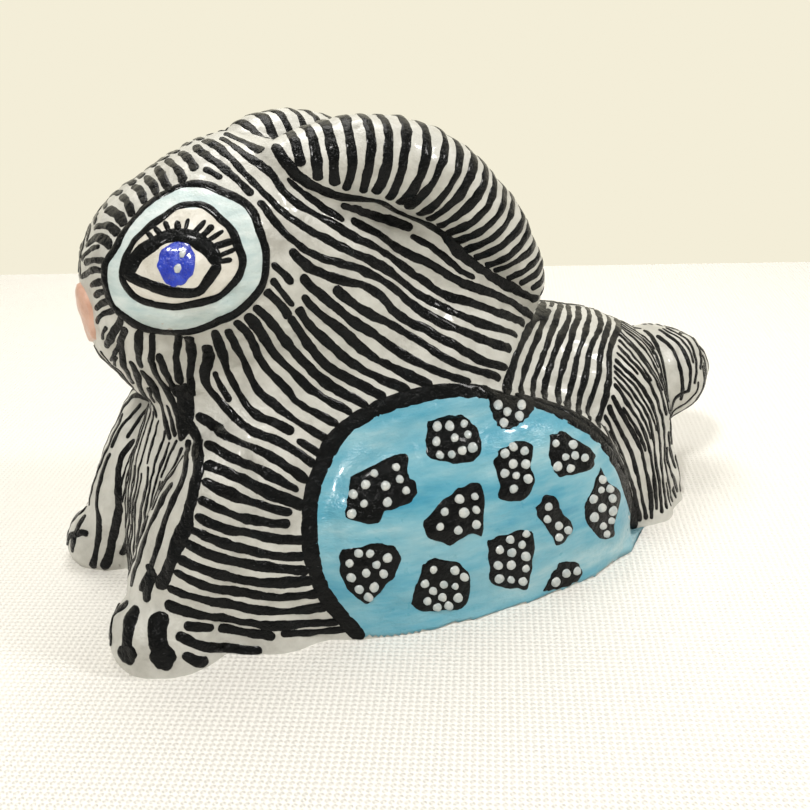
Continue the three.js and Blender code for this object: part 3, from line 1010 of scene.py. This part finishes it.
# What the quarter view doesn't reach: the chest, the legs' fronts, the chin, the rump's back and the spine.
chest = {
    "pitch": 1.9, "width": 1.05, "room": 0.9,
    "guides": [
        [(1, 50), (1.6, 35), (0.8, 20), (1.4, 4)],
        [(7, 50), (6, 36), (7, 20), (6, 4)],
        [(13, 46), (11.5, 34), (12.5, 20), (12, 4)],
    ],
}
legFront = {
    "pitch": 3.2, "width": 1.7,
    "guides": [
        [(14, 44), (16, 30), (17, 16), (16, 3)],
        [(23, 46), (24, 30), (25, 16), (25, 9)],
        [(33, 42), (33, 28), (34, 16), (34, 9)],
    ],
}
chin = {
    "pitch": 2.4, "width": 1.4,
    "guides": [
        [(1.2, 62), (1.4, 54), (1.2, 46)],
        [(7, 61), (7, 53), (6, 45)],
        [(14, 60), (13, 51), (12, 43)],
    ],
}
crownTop = {
    "pitch": 2.9, "width": 1.8,
    "guides": [
        [(1.3, 102), (1.3, 90), (1.3, 77)],
        [(8, 100), (8, 88), (7, 76)],
        [(15, 98), (15, 86), (14, 70)],
    ],
}
tailBack = {
    "pitch": 2.5, "width": 1.5,
    "guides": [
        [(-1.2, 26), (-1.6, 10), (-1.2, -4)],
        [(-6, 25), (-7, 10), (-6, -3)],
        [(-12, 21), (-14, 10), (-12, -1)],
    ],
}
rumpBack = {
    "pitch": 2.7, "width": 1.6,
    "guides": [
        [(-1.2, 60), (-1.2, 30), (-1.4, 5), (-1.2, -12.5)],
        [(-14, 58), (-15, 30), (-14, 5), (-15, -12.5)],
        [(-25, 52), (-28, 30), (-27, 5), (-28, -12)],
        [(-34, 46), (-37, 25), (-38, 5), (-38, -11)],
    ],
}
spine = {
    "pitch": 2.9, "width": 1.8,
    "guides": [
        [(-54, -1.3), (-20, -1.6), (40, -1.3), (66, -1.6)],
        [(-54, -9), (-20, -8), (40, -9), (66, -8)],
        [(-54, -18), (-20, -18), (40, -19), (66, -17)],
        [(-54, -28), (-20, -30), (40, -30), (66, -28)],
    ],
}
# Each piece's fans of strokes in the order they are laid: view, region, and what is added to the seed.
bodyFans = {
    "trunk_stripes_": [(quarter, torso, 0), (quarter, shoulder, 40), (quarter, breast, 80),
                       (quarter, throat, 120), (quarter, hip, 160), (quarter, rump, 200)],
    "face_stripes_": [(quarter, brow, 300), (quarter, cheek, 340), (front, chin, 380),
                      (front, crownTop, 390)],
    "tail_stripes_": [(quarter, tail, 500), (rear, tailBack, 520)],
    "chest_stripes_": [(front, chest, 540), (front, legFront, 560)],
    "back_stripes_": [(rear, rumpBack, 580), (above, spine, 620)],
}


def stripeBody(side):
    seed = bodySeeds[side]
    for name, fans in bodyFans.items():
        bm = bmesh.new()
        if name == "trunk_stripes_":
            for i, line in enumerate(hip["guides"][::2]):
                strokeLine(bm, quarter, side, line, hip["edgeWidths"][i], seed + 201 + i, height=0.26)
        for view, region, added in fans:
            strokeFan(bm, view, side, region, seed + added)
        if name == "trunk_stripes_":
            paintPatch(bm, quarter, side, throat["patch"], seed + 203, height=0.22)
        finishPiece(bm, name + sideNames[side], "blackAcrylic")


for side in (left, right):
    stripeBody(side)
print("body striped")


innerFinish = {"base_card": "greyboard", "core": "crumpledNewsprint", "pad": "crumpledNewsprint",
               "tie": "crepePaperTape", "wire": "galvanisedWire"}
for name, node in nodes.items():
    for word, finish in innerFinish.items():
        if word in name:
            node.data.materials.clear()
            node.data.materials.append(materials[finish])


wavePeriod = 0.314  # a Wave texture of scale 1 repeats every 0.314 units
stageLook = {
    "farEdge": ((-0.0651, 0.3324), (0.2687, 0.1372)),  # two points on the table's far edge
    "reach": 2.0, "depth": 2.2, "wallAway": 1.1, "wallHigh": 1.6,
    "cloth": "#f4f1ea", "thread": 1.4, "threadTurn": 0.53,
    "wall": "#f6f0da", "wallGlow": 0.98, "room": "#f7f3e8", "roomLight": 0.42,
    # place, size and power of each soft box
    "lamps": {"key": ((-0.30, -0.30, 0.60), 0.09, 2.8), "window": ((0.35, -0.25, 0.42), 0.08, 1.1),
              "overhead": ((0.05, 0.25, 0.60), 0.30, 1.9)},
    "lampTint": (1.0, 0.985, 0.96), "lampAim": (0, 0, 0.04),
}


def stagePlane(name, corners, material):
    bm = bmesh.new()
    bmesh.ops.create_grid(bm, x_segments=1, y_segments=1, size=1)
    for vert in bm.verts:
        along, away = (vert.co.x + 1) / 2, (vert.co.y + 1) / 2
        near = corners[0].lerp(corners[1], along)
        vert.co = near.lerp(corners[2].lerp(corners[3], along), away)
    addPiece(bm, name, material)


def makeStage():
    a, b = (Vector((*p, 0)) for p in stageLook["farEdge"])
    along = (b - a).normalized()
    away = Vector((-along.y, along.x, 0))
    start, end = a - along * stageLook["reach"], a + along * stageLook["reach"]
    cloth, tree = emptyMaterial("paleCotton")  # a plain woven cloth: a faint grid of threads
    place = addNode(tree, "ShaderNodeTexCoord").outputs["Object"]
    turned = addNode(tree, "ShaderNodeMapping", links={"Vector": place},
                     values={"Rotation": (0, 0, stageLook["threadTurn"])})
    weave = [addNode(tree, "ShaderNodeTexWave", {"bands_direction": axis},
                     {"Scale": perMetre(stageLook["thread"]) * wavePeriod, "Distortion": 0.6,
                      "Detail Scale": 900.0},
                     {"Vector": turned.outputs[0]}).outputs["Fac"] for axis in ("X", "Y")]
    threads = addNode(tree, "ShaderNodeMath", {"operation": "MULTIPLY"}, links={0: weave[0], 1: weave[1]})
    bump = addNode(tree, "ShaderNodeBump", values={"Strength": 0.8, "Distance": 0.35 * mm},
                   links={"Height": threads.outputs[0]})
    shader = addNode(tree, "ShaderNodeBsdfPrincipled", links={"Normal": bump.outputs[0]},
                     values={"Base Color": linear(stageLook["cloth"]), "Roughness": 0.9})
    addNode(tree, "ShaderNodeOutputMaterial", links={"Surface": shader.outputs[0]})
    nearer = away * stageLook["depth"]
    stagePlane("floor", [start - nearer, end - nearer, start, end], cloth)
    paper, tree = emptyMaterial("paleWall")  # an evenly lit paper backdrop
    glow = addNode(tree, "ShaderNodeEmission", values={"Color": linear(stageLook["wall"]),
                                                       "Strength": stageLook["wallGlow"]})
    addNode(tree, "ShaderNodeOutputMaterial", links={"Surface": glow.outputs[0]})
    low = away * stageLook["wallAway"] - Vector((0, 0, stageLook["wallHigh"] / 2))
    high = away * stageLook["wallAway"] + Vector((0, 0, stageLook["wallHigh"]))
    stagePlane("wall", [start + low, end + low, start + high, end + high], paper)


def makeLights():
    scene = bpy.context.scene
    world = bpy.data.worlds.new("pale room")
    world.use_nodes = True
    background = world.node_tree.nodes["Background"]
    background.inputs["Color"].default_value = linear(stageLook["room"])
    background.inputs["Strength"].default_value = stageLook["roomLight"]
    scene.world = world
    for name, (place, size, power) in stageLook["lamps"].items():
        lamp = bpy.data.lights.new(name, "AREA")
        lamp.size = size
        lamp.energy = power
        lamp.color = stageLook["lampTint"]
        light = addObject(name, lamp)
        light.location = place
        aim = Vector(stageLook["lampAim"]) - Vector(place)
        light.rotation_euler = aim.to_track_quat("-Z", "Y").to_euler()
    scene.view_settings.view_transform = "Standard"


cameraLook = {"place": (-0.115, -0.2315, 0.1351), "heading": (0.427, 0.904), "down": 21.75, "roll": 2.21,
              "lens": 49.3, "sensor": 36}


def makeCamera():
    down, roll = math.radians(cameraLook["down"]), math.radians(cameraLook["roll"])
    ahead = Vector(cameraLook["heading"] + (0,)).normalized()
    forward = ahead * math.cos(down) - Vector((0, 0, math.sin(down)))
    across = Vector((ahead.y, -ahead.x, 0))
    upward = across.cross(forward)
    x = across * math.cos(roll) - upward * math.sin(roll)
    y = upward * math.cos(roll) + across * math.sin(roll)
    turn = Matrix((x, y, -forward)).transposed()
    data = bpy.data.cameras.new("camera")
    data.lens = cameraLook["lens"]
    data.sensor_width = cameraLook["sensor"]
    camera = addObject("camera", data)
    camera.location = cameraLook["place"]
    camera.rotation_euler = turn.to_euler()
    bpy.context.scene.camera = camera


makeStage()
makeLights()
makeCamera()
print("stage ready")
